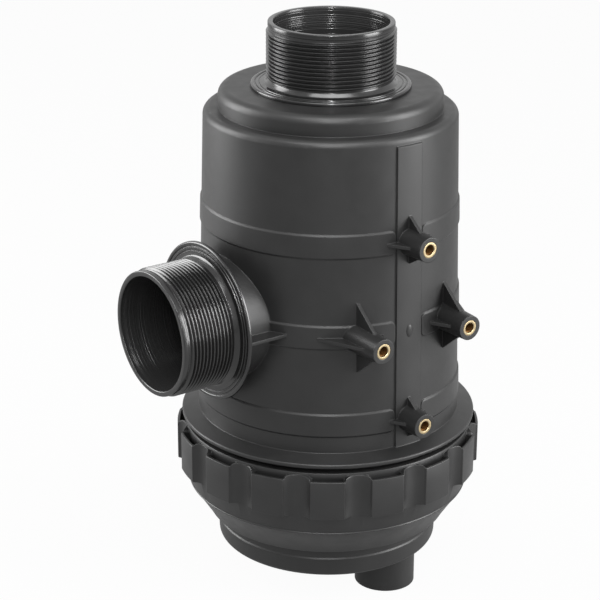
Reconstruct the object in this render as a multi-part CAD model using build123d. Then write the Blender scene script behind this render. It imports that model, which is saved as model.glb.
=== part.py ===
from build123d import *
import math
import os

# A suction filter for a pump line. The moulded housing hangs from four threaded bosses,
# takes dirty liquid in at its side nipple and gives clean liquid out at its top nipple.
# A ring nut holds the bowl under it, and the mesh cartridge stands between the two.
# Lengths are in millimetres. Levels are heights above the middle of the four bosses and
# radii are measured from the body's own axis. The origin lies in the plane of the boss
# faces, so every solid is moved back by face_reach when it is written.

# Gaps between pieces
fit_gap = 0.1
seat_gap = 0.3
slide_gap = 0.3

# How far a raised form is drawn into the wall that carries it
root_depth = 1.5

# Housing shell, which stands clear of the cartridge inside it
cartridge_space = 5.16
wall = 4.0
wall_draft = 4.7
top_level = 126.9
top_tier_height = 12.0
top_tier_step = 8.7
top_tier_fillet = 5.0
shoulder_fillet = 4.0
skirt_level = -70.2
flange_proud = 8.0
flange_wall = 2.6
flange_fall = 2.9
flange_round = 1.0
collar_step = 2.0
collar_length = 35.5

# Raised bands and the strip under the bosses
band_count = 3
band_drop = 60.4
band_foot = 17.1
band_height = 14.5
band_proud = 0.8
band_bevel = 1.0
band_edge = 0.16
band_corner = 4.0
band_gap = 0.6
strip_half_angle = 6.6
strip_proud = 1.0
strip_sink = 0.5
strip_slope = 1.5

# Mounting bosses
boss_rise = 53.7
boss_spread = 31.0
boss_wall = 2.75
boss_draft = 2.2
bracket_gap = 2.4
gusset_wall = 2.0
gusset_drop = 7.5
gusset_sink = 3.0
gusset_root = 8.0
up_gusset_reach = 15.5
down_gusset_reach = 13.5
side_gusset_reach = 21.5
inner_gusset_reach = 15.0

# Threaded inserts
insert_r = 4.55
insert_length = 12.0
insert_thread_r = 2.5
insert_groove_depth = 0.5
insert_groove_start = 6.6
insert_groove_length = 1.8

# Threaded port nipples
port_thread_r = 37.59
port_thread_depth = 1.49
port_wall = 2.7
port_tip_chamfer = 1.1
port_root_length = 1.5
disc_step = 8.95
disc_wall = 2.2
disc_chamfer = 0.5
outlet_length = 38.0
inlet_length = 38.0

# Seats that the nipples are welded to
weld_depth = 0.8
weld_ring_inset = 3.4
weld_ring_wall = 2.4
inlet_axis_level = 1.0
neck_wall = 3.6
neck_length = 8.3
neck_gusset_wall = 2.0
neck_gusset_inset = 0.8

# Outlet ring inside the housing, which the cartridge slides over
outlet_ring_wall = 7.6
outlet_ring_lead = 0.6

# Ring nut
thread_depth = 1.8
thread_gap = 0.4
nut_wall = 4.0
nut_top_gap = 3.4
nut_top_round = 1.2
nut_seat_wall = 6.8
nut_shoulder_step = 3.3
nut_cone_height = 18.4
nut_cone_step = 11.3
nut_bowl_gap = 0.6
recess_step = 0.4
lobe_count = 16
lobe_angle = 12.8
lobe_phase = -126.1
lobe_proud = 4.5
lobe_wall = 1.6
lobe_foot = 3.6
lobe_drop = 3.5
lobe_height = 24.0
lobe_floor = 4.0
lobe_under = 0.6
lobe_top_chamfer = 0.5
lobe_low_chamfer = 0.8

# Slip ring and bowl
slip_wall = 1.0
slip_r_gap = 0.3
bowl_flange_gap = 0.2
bowl_flange_wall = 4.8
bowl_neck_step = 3.1
bowl_waist_step = 10.2
bowl_groove_depth = 0.6
bowl_groove_height = 7.2
bowl_groove_slope = 0.9
bowl_draft = 0.6
bowl_foot_drop = 19.5
bowl_foot_fillet = 2.5
bowl_wall = 4.3
floor_wall = 4.5
post_r = 24.0
post_wall = 3.2
post_lead = 2.3

# Drain spigot
drain_angle = -72.5
drain_bore_r = 12.1
drain_wall = 6.1
drain_inset = 4.0
drain_length = 22.0
drain_mouth_chamfer = 1.2

# Round seals
seal_r = 1.77
seal_gap = 0.1

# Filter cartridge
cartridge_top_gap = 7.7
cartridge_low_gap = 13.6
cap_wall = 4.0
cap_lap = 8.0
cap_skirt_wall = 1.4
cap_round = 1.5
socket_wall = 1.6
socket_lip = 4.3
socket_cage_gap = 2.7
mesh_wall = 0.8
rib_count = 12
rib_wall = 3.0
rib_depth = 4.5
rib_inset = 0.4
hoop_count = 3
hoop_height = 3.0
hoop_depth = 3.5
end_hoop_height = 6.0
middle_ring_height = 10.0
middle_ring_web = 2.0


# Port sizes that follow
port_root_r = port_thread_r - port_thread_depth
port_bore_r = port_root_r - port_wall
disc_r = port_thread_r + disc_step
weld_ring_r = disc_r - weld_ring_inset
outlet_rim_level = top_level + outlet_length
neck_r = port_bore_r + neck_wall

# Cartridge radii that follow
seal_wide = seal_r * 2
outlet_ring_r = port_bore_r + outlet_ring_wall
top_socket_r = outlet_ring_r + slide_gap
low_socket_r = post_r + slide_gap
cage_inner_r = top_socket_r + seal_wide + seal_gap + socket_wall + socket_cage_gap
cage_r = cage_inner_r + rib_depth
mesh_r = cage_r + fit_gap + mesh_wall
cap_r = mesh_r + fit_gap + cap_skirt_wall

# Shell, ring nut and bowl sizes that follow
shoulder_level = top_level - top_tier_height
top_tier_r = cap_r + cartridge_space + wall
shoulder_r = top_tier_r + top_tier_step
skirt_r = shoulder_r + wall_draft
collar_r = skirt_r + collar_step
collar_inner_r = skirt_r - wall
collar_level = skirt_level - collar_length
flange_r = collar_r + flange_proud
flange_low = skirt_level - flange_fall - flange_wall
nut_bore_r = collar_r + thread_depth + thread_gap
nut_core_r = nut_bore_r + nut_wall
nut_top_level = flange_low - nut_top_gap
recess_r = nut_core_r + recess_step
lobe_r = recess_r + lobe_proud
lobe_top_level = nut_top_level - lobe_drop
lobe_low_level = lobe_top_level - lobe_height
face_reach = lobe_r + bracket_gap
boss_face_r = insert_r + boss_wall
bowl_top_level = collar_level - seat_gap
bowl_flange_low = bowl_top_level - bowl_flange_wall
slip_low = bowl_flange_low - slip_wall
nut_seat_level = slip_low - seat_gap
nut_shoulder_level = nut_seat_level - nut_seat_wall
nut_rim_level = nut_shoulder_level - nut_cone_height
nut_base_r = recess_r + lobe_under
nut_shoulder_r = nut_base_r - nut_shoulder_step
nut_rim_r = nut_shoulder_r - nut_cone_step
bowl_flange_r = collar_r - bowl_flange_gap
bowl_neck_r = bowl_flange_r - bowl_neck_step
bowl_waist_r = bowl_neck_r - bowl_waist_step
bowl_foot_r = bowl_waist_r - bowl_draft
bowl_foot_level = nut_rim_level - bowl_foot_drop
bowl_seal_centre_r = (collar_inner_r + collar_r) / 2
floor_top = bowl_foot_level + floor_wall
drain_r = drain_bore_r + drain_wall
drain_reach = bowl_foot_r - drain_r - drain_inset
drain_low_level = bowl_foot_level - drain_length
drain_x = drain_reach * math.cos(math.radians(drain_angle))
drain_y = drain_reach * math.sin(math.radians(drain_angle))

# Inlet reaches that follow
neck_reach = skirt_r + neck_length
neck_gusset_reach = disc_r - neck_gusset_inset
inlet_rim_reach = neck_reach + inlet_length

# Cartridge levels that follow
groove_height = seal_wide + seal_gap * 2
socket_length = cap_wall + groove_height + socket_lip
outlet_ring_length = cartridge_top_gap + cap_wall + groove_height + outlet_ring_lead
top_cap_level = top_level - wall - cartridge_top_gap
low_cap_level = floor_top + cartridge_low_gap
post_level = low_cap_level + cap_wall + groove_height + post_lead
cage_top_level = top_cap_level - cap_wall
cage_low_level = low_cap_level + cap_wall
cage_middle_level = (cage_top_level + cage_low_level) / 2

# Band sizes that follow
band_level = shoulder_level - band_drop
band_pitch = (band_level - skirt_level - band_foot) / (band_count - 1)
band_end_angle = strip_half_angle + math.degrees(band_gap / shoulder_r)


def wall_r(level):
    """Outer radius of the housing's drafted wall at a level."""
    share = (shoulder_level - level) / (shoulder_level - skirt_level)
    return shoulder_r + (skirt_r - shoulder_r) * share


def outline(*points):
    """A flat face in the plane of the axis, from (radius, level) corners."""
    return make_face(Plane.XZ * Polyline(*points, close=True))


def corner(face, radius, level):
    """The corner of a face that lies at a radius and level."""
    place = Vector(radius, 0, level)
    return min(face.vertices(), key=lambda v: (Vector(*tuple(v)) - place).length)


def rounded(face, *corners):
    """The face with named corners rounded; each is (radius, level, fillet)."""
    for radius, level, size in corners:
        face = fillet(corner(face, radius, level), size)
    return face


def spun(face, angle=360, start=0):
    """The face turned about the body axis, from a start angle."""
    return Rot(0, 0, start) * revolve(face, Axis.Z, angle)


def tube(outer, inner, low, high):
    """A plain ring between two levels."""
    return spun(outline((inner, low), (outer, low), (outer, high), (inner, high)))


def box_between(x0, x1, y0, y1, z0, z1):
    """A box from its two corners."""
    size = Box(x1 - x0, y1 - y0, z1 - z0)
    return Pos((x0 + x1) / 2, (y0 + y1) / 2, (z0 + z1) / 2) * size


def along_inlet(solid):
    """Lays a solid made along +Z on the inlet's axis, which points to -X."""
    return Pos(0, 0, inlet_axis_level) * Rot(0, -90, 0) * solid


def rod(radius, length):
    """A cylinder that stands on its base."""
    return Cylinder(radius, length, align=(Align.CENTER, Align.CENTER, Align.MIN))


def shell_blank():
    """The housing's turned shell without its side neck, bosses and strip."""
    face = outline(
        (port_bore_r, top_level),
        (top_tier_r, top_level),
        (top_tier_r, shoulder_level),
        (shoulder_r, shoulder_level),
        (skirt_r, skirt_level),
        (flange_r, skirt_level - flange_fall),
        (flange_r, flange_low),
        (collar_r, flange_low),
        (collar_r, collar_level),
        (collar_inner_r, collar_level),
        (collar_inner_r, skirt_level),
        (shoulder_r - wall, shoulder_level - wall),
        (top_tier_r - wall, shoulder_level - wall),
        (top_tier_r - wall, top_level - wall),
        (outlet_ring_r, top_level - wall),
        (outlet_ring_r, top_level - wall - outlet_ring_length),
        (port_bore_r, top_level - wall - outlet_ring_length),
    )
    face = rounded(
        face,
        (top_tier_r, top_level, top_tier_fillet),
        (shoulder_r, shoulder_level, shoulder_fillet),
        (flange_r, skirt_level - flange_fall, flange_round),
        (flange_r, flange_low, flange_round),
    )
    return spun(face)


def weld_ring():
    """The low ring on the housing's top that the outlet nipple is welded over."""
    inner = weld_ring_r - weld_ring_wall
    return tube(weld_ring_r, inner, top_level - root_depth, top_level + weld_depth)


def band(index):
    """One raised band, open at the strip, with its end corners rounded."""
    middle = band_level - band_pitch * index
    high = middle + band_height / 2
    low = middle - band_height / 2
    face = outline(
        (wall_r(low) - root_depth, low),
        (wall_r(low) + band_edge, low),
        (wall_r(low) + band_proud, low + band_bevel),
        (wall_r(high) + band_proud, high - band_bevel),
        (wall_r(high) + band_edge, high),
        (wall_r(high) - root_depth, high),
    )
    return spun(face, 360 - 2 * band_end_angle, -90 + band_end_angle)


def band_end_trim(index):
    """Cutters that round the four end corners of a band beside the strip."""
    middle = band_level - band_pitch * index
    cutters = []
    for side in (-1, 1):
        edge_x = side * wall_r(middle) * math.sin(math.radians(band_end_angle))
        for up in (-1, 1):
            level = middle + up * band_height / 2
            centre_x = edge_x + side * band_corner
            centre_z = level - up * band_corner
            block = Rectangle(band_corner, band_corner)
            block = Pos((edge_x + centre_x) / 2, (level + centre_z) / 2) * block
            face = block - Pos(centre_x, centre_z) * Circle(band_corner)
            cutters.append(extrude(Plane.XZ * face, flange_r))
    return cutters


def strip():
    """The raised upright strip that runs down the wall under the bosses."""
    high = shoulder_level - shoulder_fillet
    face = outline(
        (skirt_r - root_depth, skirt_level - strip_sink),
        (skirt_r + strip_proud, skirt_level - strip_sink),
        (wall_r(high) + strip_proud, high - strip_slope),
        (wall_r(high) - root_depth, high),
    )
    return spun(face, 2 * strip_half_angle, -90 - strip_half_angle)


def boss_places():
    """Name, x and level of the four bosses, as a diamond about the origin."""
    return (
        ("top", 0, boss_rise),
        ("bottom", 0, -boss_rise),
        ("left", -boss_spread, 0),
        ("right", boss_spread, 0),
    )


def boss(x, level):
    """A boss on the wall with four thin gussets, its face in the boss-face plane."""
    inside_r = shoulder_r - wall
    root = math.sqrt(inside_r ** 2 - (abs(x) + boss_face_r) ** 2) - root_depth
    length = face_reach - root
    foot_r = boss_face_r + length * math.tan(math.radians(boss_draft))
    post = loft([Plane.XY * Circle(foot_r), Pos(0, 0, length) * Circle(boss_face_r)])
    solid = Pos(x, -root, level) * Rot(90, 0, 0) * post
    for turn, reach in gusset_reaches(x).items():
        solid += Pos(x, 0, level) * Rot(0, -turn, 0) * gusset(x, turn, reach)
    return solid


def gusset_reaches(x):
    """How far the gussets of a boss reach, by the angle that they point at."""
    if x == 0:
        return {0: up_gusset_reach, 90: up_gusset_reach, 180: up_gusset_reach, 270: down_gusset_reach}
    inward = 0 if x < 0 else 180
    reaches = dict.fromkeys((0, 90, 180, 270), side_gusset_reach)
    reaches[inward] = inner_gusset_reach
    return reaches


def gusset(x, turn, reach):
    """One gusset, drawn towards +X from the boss axis and turned into place."""
    side = {0: 1, 180: -1}.get(turn, 0)
    tip_x = x + side * reach
    tip_y = math.sqrt(skirt_r ** 2 - tip_x ** 2) - gusset_sink
    start = face_reach - gusset_drop
    low = tip_y - gusset_root
    face = make_face(Polyline(
        (0, -start),
        (boss_face_r, -start),
        (reach, -tip_y),
        (reach, -low),
        (0, -low),
        close=True,
    ))
    return Pos(0, 0, -gusset_wall / 2) * extrude(face, gusset_wall)


def side_neck():
    """The short neck that carries the inlet nipple, with a gusset at each side."""
    neck = along_inlet(rod(neck_r, neck_reach + weld_depth))
    inside_r = shoulder_r - wall
    root = math.sqrt(inside_r ** 2 - neck_gusset_reach ** 2) - root_depth
    low = inlet_axis_level - neck_gusset_wall / 2
    high = inlet_axis_level + neck_gusset_wall / 2
    for side in (-1, 1):
        near, far = sorted((side * (neck_r - root_depth), side * neck_gusset_reach))
        neck += box_between(-neck_reach, -root, near, far, low, high)
    return neck


def inner_space():
    """The space inside the shell, used to cut away what bosses and neck leave inside."""
    face = outline(
        (0, collar_level),
        (collar_inner_r, collar_level),
        (collar_inner_r, skirt_level),
        (shoulder_r - wall, shoulder_level - wall),
        (0, shoulder_level - wall),
    )
    return spun(face)


def housing():
    """The moulded body: shell, bands, strip, bosses, gussets and side neck."""
    body = side_neck()
    for _, x, level in boss_places():
        body += boss(x, level)
    body -= inner_space()
    ring = shell_blank() + weld_ring()
    for index in range(band_count):
        piece = band(index)
        for cutter in band_end_trim(index):
            piece -= cutter
        ring += piece
    body = ring + strip() + body
    body -= along_inlet(rod(port_bore_r, inlet_rim_reach))
    hole = rod(insert_r + fit_gap, insert_length)
    for _, x, level in boss_places():
        body -= Pos(x, -face_reach, level) * Rot(-90, 0, 0) * hole
    return body


def insert(x, level):
    """A brass insert, flush with the boss face, with a retaining groove round it."""
    groove_low = insert_groove_start
    groove_high = insert_groove_start + insert_groove_length
    face = outline(
        (insert_thread_r, 0),
        (insert_r, 0),
        (insert_r, groove_low),
        (insert_r - insert_groove_depth, groove_low),
        (insert_r - insert_groove_depth, groove_high),
        (insert_r, groove_high),
        (insert_r, insert_length),
        (insert_thread_r, insert_length),
    )
    return Pos(x, insert_length - face_reach, level) * Rot(90, 0, 0) * spun(face)


def nipple(seat, rim, *joint):
    """A port nipple along +Z: base disc with its welded joint and a pipe to be threaded."""
    disc_high = seat + disc_wall
    face = outline(
        *joint,
        (disc_r, seat),
        (disc_r, disc_high - disc_chamfer),
        (disc_r - disc_chamfer, disc_high),
        (port_root_r, disc_high),
        (port_root_r, disc_high + port_root_length),
        (port_thread_r, disc_high + port_root_length),
        (port_thread_r, rim - port_tip_chamfer),
        (port_thread_r - port_tip_chamfer, rim),
        (port_bore_r, rim),
    )
    return spun(face)


def outlet_nipple():
    """The top nipple, its disc grooved to be welded over the ring on the housing's top."""
    inner = weld_ring_r - weld_ring_wall - fit_gap
    outer = weld_ring_r + fit_gap
    deep = top_level + weld_depth
    joint = ((port_bore_r, top_level), (inner, top_level), (inner, deep), (outer, deep), (outer, top_level))
    return nipple(top_level, outlet_rim_level, *joint)


def inlet_nipple():
    """The side nipple, its disc recessed to be welded over the end of the neck."""
    recess_r = neck_r + fit_gap
    deep = neck_reach + weld_depth
    joint = ((port_bore_r, deep), (recess_r, deep), (recess_r, neck_reach))
    return along_inlet(nipple(neck_reach, inlet_rim_reach, *joint))


def round_seal(centre_r, level):
    """A round rubber seal of circular section."""
    section = Plane.XZ * Pos(centre_r, level) * Circle(seal_r)
    return revolve(section, Axis.Z)


def ring_nut():
    """The hand nut: threaded core, seat and cone that lift the bowl, and hollow lobes."""
    cone_slope = (nut_base_r - nut_shoulder_r) / (lobe_low_level - nut_shoulder_level)
    cone_level = lobe_low_level - lobe_under / cone_slope
    seat_r = bowl_neck_r + nut_bowl_gap
    lip_r = bowl_waist_r + nut_bowl_gap
    face = outline(
        (nut_bore_r, nut_top_level),
        (nut_core_r, nut_top_level),
        (nut_core_r, lobe_top_level),
        (recess_r, lobe_top_level),
        (recess_r, cone_level),
        (nut_shoulder_r, nut_shoulder_level),
        (nut_rim_r, nut_rim_level),
        (lip_r, nut_rim_level),
        (seat_r, nut_shoulder_level),
        (seat_r, nut_seat_level),
        (nut_bore_r, nut_seat_level),
    )
    nut = spun(rounded(face, (nut_core_r, nut_top_level, nut_top_round)))
    lobe = lobe_blank(cone_level)
    for index in range(lobe_count):
        nut += Rot(0, 0, lobe_phase + index * 360 / lobe_count) * lobe
    pocket = lobe_pocket()
    for index in range(lobe_count):
        nut -= Rot(0, 0, lobe_phase + index * 360 / lobe_count) * pocket
    return nut


def lobe_blank(cone_level):
    """One grip lobe of the nut, centred on +X, with crisp corners and hollow flanks."""
    half_angle = lobe_angle / 2 + math.degrees(lobe_foot / recess_r)
    face = outline(
        (recess_r - root_depth, cone_level),
        (recess_r, cone_level),
        (nut_base_r, lobe_low_level),
        (lobe_r - lobe_low_chamfer, lobe_low_level),
        (lobe_r, lobe_low_level + lobe_low_chamfer),
        (lobe_r, lobe_top_level - lobe_top_chamfer),
        (lobe_r - lobe_top_chamfer, lobe_top_level),
        (recess_r - root_depth, lobe_top_level),
    )
    plan = extrude(lobe_plan(), nut_top_level - nut_rim_level)
    return spun(face, 2 * half_angle, -half_angle) & Pos(0, 0, nut_rim_level) * plan


def lobe_plan():
    """A lobe seen from above: each flank runs straight in, then curves out into the core."""
    sides = []
    for side in (-1, 1):
        angle = side * math.radians(lobe_angle / 2)
        along = Vector(math.cos(angle), math.sin(angle))
        across = Vector(-math.sin(angle), math.cos(angle)) * side
        tip = along * (lobe_r + root_depth)
        start = along * (recess_r + lobe_foot)
        centre = start + across * lobe_foot
        middle = centre - (along + across) * (lobe_foot / math.sqrt(2))
        foot = centre - along * lobe_foot
        sides.append((tip, start, middle, foot, foot - along * root_depth))
    edges = [Line(sides[0][0], sides[1][0]), Line(sides[0][4], sides[1][4])]
    for tip, start, middle, foot, root in sides:
        edges += [Line(tip, start), ThreePointArc(start, middle, foot), Line(foot, root)]
    return make_face(edges)


def lobe_pocket():
    """The hollow behind a lobe's thin wall, open at the top."""
    inner_r = recess_r
    outer_r = lobe_r - lobe_wall
    face = outline(
        (inner_r, lobe_low_level + lobe_floor),
        (outer_r, lobe_low_level + lobe_floor),
        (outer_r, lobe_top_level),
        (inner_r, lobe_top_level),
    )
    angle = lobe_angle - 2 * math.degrees(lobe_wall / lobe_r)
    return spun(face, angle, -angle / 2)


def slip_ring():
    """The thin ring between the bowl's flange and the nut, so that the bowl stays still."""
    inner = bowl_neck_r + slip_r_gap
    return tube(bowl_flange_r, inner, slip_low, bowl_flange_low)


def bowl():
    """The lower bowl: sealing flange, neck, cone, waist, floor, centre post and drain."""
    groove_low = nut_rim_level - bowl_groove_height
    seal_half = seal_r + seal_gap
    face = outline(
        (bowl_seal_centre_r - seal_half, bowl_top_level),
        (collar_inner_r, bowl_top_level),
        (bowl_neck_r - bowl_wall, bowl_flange_low),
        (bowl_neck_r - bowl_wall, nut_shoulder_level),
        (bowl_waist_r - bowl_wall, nut_rim_level),
        (bowl_foot_r - bowl_wall, floor_top),
        (post_r, floor_top),
        (post_r, post_level),
        (0, post_level),
        (0, post_level - post_wall),
        (post_r - post_wall, post_level - post_wall),
        (post_r - post_wall, bowl_foot_level),
        (bowl_foot_r, bowl_foot_level),
        (bowl_waist_r, groove_low - bowl_groove_slope),
        (bowl_waist_r - bowl_groove_depth, groove_low),
        (bowl_waist_r - bowl_groove_depth, nut_rim_level),
        (bowl_waist_r, nut_rim_level),
        (bowl_neck_r, nut_shoulder_level),
        (bowl_neck_r, bowl_flange_low),
        (bowl_flange_r, bowl_flange_low),
        (bowl_flange_r, bowl_top_level),
        (bowl_seal_centre_r + seal_half, bowl_top_level),
        (bowl_seal_centre_r + seal_half, bowl_top_level - seal_wide),
        (bowl_seal_centre_r - seal_half, bowl_top_level - seal_wide),
    )
    face = rounded(face, (bowl_foot_r, bowl_foot_level, bowl_foot_fillet))
    shell = spun(face)
    length = bowl_foot_level + root_depth - drain_low_level
    shell += Pos(drain_x, drain_y, drain_low_level) * rod(drain_r, length)
    bore = rod(drain_bore_r, floor_top - drain_low_level)
    mouth_r = drain_bore_r + drain_mouth_chamfer
    mouth = Cone(mouth_r, drain_bore_r, drain_mouth_chamfer, align=(Align.CENTER, Align.CENTER, Align.MIN))
    return shell - Pos(drain_x, drain_y, drain_low_level) * (bore + mouth)


def cap(socket_r, level):
    """A cartridge end cap that faces up; its socket holds a round seal in a groove."""
    under = level - cap_wall
    socket_low = level - socket_length
    groove_low = under - groove_height
    groove_r = socket_r + seal_wide + seal_gap
    outer_r = groove_r + socket_wall
    face = outline(
        (socket_r, level),
        (cap_r, level),
        (cap_r, level - cap_lap),
        (mesh_r + fit_gap, level - cap_lap),
        (mesh_r + fit_gap, under),
        (outer_r, under),
        (outer_r, socket_low),
        (socket_r, socket_low),
        (socket_r, groove_low),
        (groove_r, groove_low),
        (groove_r, under),
        (socket_r, under),
    )
    return spun(rounded(face, (cap_r, level, cap_round)))


def cap_seal(socket_r, level):
    """The round seal in a cap's socket groove."""
    middle = level - cap_wall - groove_height / 2
    return round_seal(socket_r + seal_r + seal_gap, middle)


def upside_down(solid):
    """Turns a cap made about level 0 so that it faces down."""
    return Rot(180, 0, 0) * solid


def cage_half(low, high):
    """Half of the cartridge cage: end hoops, thin hoops and upright ribs."""
    solid = tube(cage_r, cage_inner_r, low, low + end_hoop_height)
    solid += tube(cage_r, cage_inner_r, high - end_hoop_height, high)
    pitch = (high - low) / (hoop_count + 1)
    for index in range(hoop_count):
        middle = low + pitch * (index + 1)
        solid += tube(cage_r, cage_r - hoop_depth, middle - hoop_height / 2, middle + hoop_height / 2)
    start = low + end_hoop_height
    stop = high - end_hoop_height
    near = cage_inner_r + rib_inset
    far = cage_r - rib_inset
    rib = box_between(near, far, -rib_wall / 2, rib_wall / 2, start, stop)
    for index in range(rib_count):
        solid += Rot(0, 0, index * 360 / rib_count) * rib
    return solid


def middle_ring():
    """The ring of H section that joins the two cage halves and clamps their mesh."""
    half = middle_ring_height / 2
    web = middle_ring_web / 2
    middle = cage_middle_level
    face = outline(
        (cage_inner_r, middle - web),
        (mesh_r + fit_gap, middle - web),
        (mesh_r + fit_gap, middle - half),
        (cap_r, middle - half),
        (cap_r, middle + half),
        (mesh_r + fit_gap, middle + half),
        (mesh_r + fit_gap, middle + web),
        (cage_inner_r, middle + web),
    )
    return spun(face)


def parts():
    """Every sub-part by name, about the body axis."""
    web = middle_ring_web / 2
    upper = cage_middle_level + web
    lower = cage_middle_level - web
    made = {
        "housing": housing(),
        "outlet_nipple": outlet_nipple(),
        "inlet_nipple": inlet_nipple(),
        "ring_nut": ring_nut(),
        "slip_ring": slip_ring(),
        "bowl": bowl(),
        "bowl_seal": round_seal(bowl_seal_centre_r, bowl_top_level - seal_r),
        "cartridge_top_cap": cap(top_socket_r, top_cap_level),
        "cartridge_top_seal": cap_seal(top_socket_r, top_cap_level),
        "cartridge_low_cap": upside_down(cap(low_socket_r, -low_cap_level)),
        "cartridge_low_seal": upside_down(cap_seal(low_socket_r, -low_cap_level)),
        "cage_upper_half": cage_half(upper, cage_top_level),
        "cage_lower_half": cage_half(cage_low_level, lower),
        "cage_middle_ring": middle_ring(),
        "mesh_sleeve_upper": tube(mesh_r, cage_r, upper, cage_top_level),
        "mesh_sleeve_lower": tube(mesh_r, cage_r, cage_low_level, lower),
    }
    for name, x, level in boss_places():
        made["insert_" + name] = insert(x, level)
    return made


os.makedirs("parts", exist_ok=True)
for name, solid in parts().items():
    export_step(Pos(0, face_reach, 0) * solid, f"parts/{name}.step")
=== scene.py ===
# %% [markdown]
# # A suction filter for a pump line
# The real thing is a moulded housing with two threaded ports, a ring nut with hollow grip
# lobes, a bowl under it and a mesh cartridge inside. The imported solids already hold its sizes
# and its moving pieces. This lesson dresses them: it makes the moulded finishes, cuts the
# threads, repeats the lobes, weaves the mesh and lights the whole as a studio would.
# Every length is in metres, and a piece is always made where the solid lies.

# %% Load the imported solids
import math

import bmesh
import bpy
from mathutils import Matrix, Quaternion, Vector


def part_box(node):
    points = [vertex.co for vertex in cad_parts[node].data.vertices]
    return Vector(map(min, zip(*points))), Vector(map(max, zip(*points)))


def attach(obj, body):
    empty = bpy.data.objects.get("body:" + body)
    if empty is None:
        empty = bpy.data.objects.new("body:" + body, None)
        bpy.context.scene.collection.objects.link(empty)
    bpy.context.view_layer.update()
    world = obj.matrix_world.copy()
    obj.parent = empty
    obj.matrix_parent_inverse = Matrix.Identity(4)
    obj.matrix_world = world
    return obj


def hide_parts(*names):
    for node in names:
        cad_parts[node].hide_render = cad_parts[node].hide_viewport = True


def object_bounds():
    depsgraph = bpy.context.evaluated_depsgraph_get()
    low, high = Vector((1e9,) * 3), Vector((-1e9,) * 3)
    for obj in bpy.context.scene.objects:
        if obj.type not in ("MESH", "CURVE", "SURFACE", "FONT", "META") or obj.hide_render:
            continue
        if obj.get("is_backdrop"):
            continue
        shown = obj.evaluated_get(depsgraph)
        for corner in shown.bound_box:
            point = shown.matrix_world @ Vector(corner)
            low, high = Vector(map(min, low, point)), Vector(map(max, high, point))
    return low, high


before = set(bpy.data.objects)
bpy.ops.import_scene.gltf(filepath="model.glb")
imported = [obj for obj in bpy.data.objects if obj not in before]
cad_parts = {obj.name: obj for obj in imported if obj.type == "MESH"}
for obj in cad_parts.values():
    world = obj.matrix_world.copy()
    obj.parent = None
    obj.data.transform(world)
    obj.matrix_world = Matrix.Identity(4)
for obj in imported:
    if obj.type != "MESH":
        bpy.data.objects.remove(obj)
cad_low, cad_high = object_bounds()

# %% [markdown]
# ## Places read from the solids
# The slip ring is round about the body's own axis, so the middle of its box gives that axis.
# Levels of the ports come from their boxes too. Reading them here keeps the dressed pieces on
# the solids when a size of the part is changed.

# %% Measure the axis and the ports
MM = 0.001


def middle(node):
    """The middle of a solid's box."""
    low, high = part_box(node)
    return (low + high) / 2


axis = Vector((middle("slip_ring").x, middle("slip_ring").y, 0))
inlet_level = middle("inlet_nipple").z
outlet_low, outlet_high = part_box("outlet_nipple")
inlet_low, inlet_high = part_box("inlet_nipple")
print("axis at y", round(axis.y, 4), "inlet level", round(inlet_level, 4))

# %% [markdown]
# ## Small helpers for materials
# Colours are written as the hex values that a picture shows. Blender mixes light in linear
# values, so one function turns the one into the other. Another adds a node, sets its properties
# and either sets or links its inputs, which keeps each material short enough to read. The rest
# draw noise in real sizes, let the gloss wander with it and turn it into relief.

# %% Colour and node helpers
def colour(shade):
    """Linear colour from an sRGB hex value such as 2b2c2d."""
    parts = [int(shade[i:i + 2], 16) / 255 for i in (0, 2, 4)]
    linear = [p / 12.92 if p <= 0.04045 else ((p + 0.055) / 1.055) ** 2.4 for p in parts]
    return (*linear, 1.0)


def add(tree, kind, inputs=None, **settings):
    """Adds a node; an input given as a socket is linked and any other value is set."""
    node = tree.nodes.new(kind)
    for name, value in settings.items():
        setattr(node, name, value)
    for key, value in (inputs or {}).items():
        if isinstance(value, bpy.types.NodeSocket):
            tree.links.new(value, node.inputs[key])
        else:
            node.inputs[key].default_value = value
    return node


def start_material(name, **sockets):
    """A material with its shader's constant values set, and its object coordinates."""
    material = bpy.data.materials.new(name)
    material.use_nodes = True
    tree = material.node_tree
    shader = tree.nodes["Principled BSDF"]
    for label, value in sockets.items():
        shader.inputs[label.replace("_", " ")].default_value = value
    place = add(tree, "ShaderNodeTexCoord").outputs["Object"]
    return material, tree, shader, place


def noise(tree, place, size, detail=2.0):
    """Noise whose blotches are about as wide as a real size."""
    return add(tree, "ShaderNodeTexNoise", {"Vector": place, "Scale": 1 / size, "Detail": detail})


def spread(tree, value, low, high):
    """Stretches noise, which stays near its middle, over a range of values."""
    inputs = {"Value": value, "From Min": 0.3, "From Max": 0.7, "To Min": low, "To Max": high}
    return add(tree, "ShaderNodeMapRange", inputs).outputs["Result"]


def uneven_gloss(tree, shader, place, size, detail, low, high):
    """Lets the roughness wander between two values, in blotches of a real size."""
    cloud = noise(tree, place, size, detail).outputs["Fac"]
    tree.links.new(spread(tree, cloud, low, high), shader.inputs["Roughness"])


def relief(tree, height, depth, normal=None):
    """Turns a height pattern into a bumped normal, its depth a real length."""
    inputs = {"Height": height, "Distance": depth, "Strength": 1.0}
    if normal is not None:
        inputs["Normal"] = normal
    return add(tree, "ShaderNodeBump", inputs).outputs["Normal"]


print("helpers ready")

# %% [markdown]
# ## Moulded polypropylene
# Housing, nut and bowl are injection-moulded polypropylene, black right through. The steel mould
# is spark-eroded, so the skin has a fine grain that spreads the light into a satin sheen. Thick
# walls shrink as they cool, which leaves slow waves. Mould edges are never knife sharp: the Bevel
# node rounds the shading there by a real radius. The grain of about 0.2 mm is too fine to show,
# so it is drawn three times as coarse. The caps and the cage inside are the same plastic.

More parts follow.
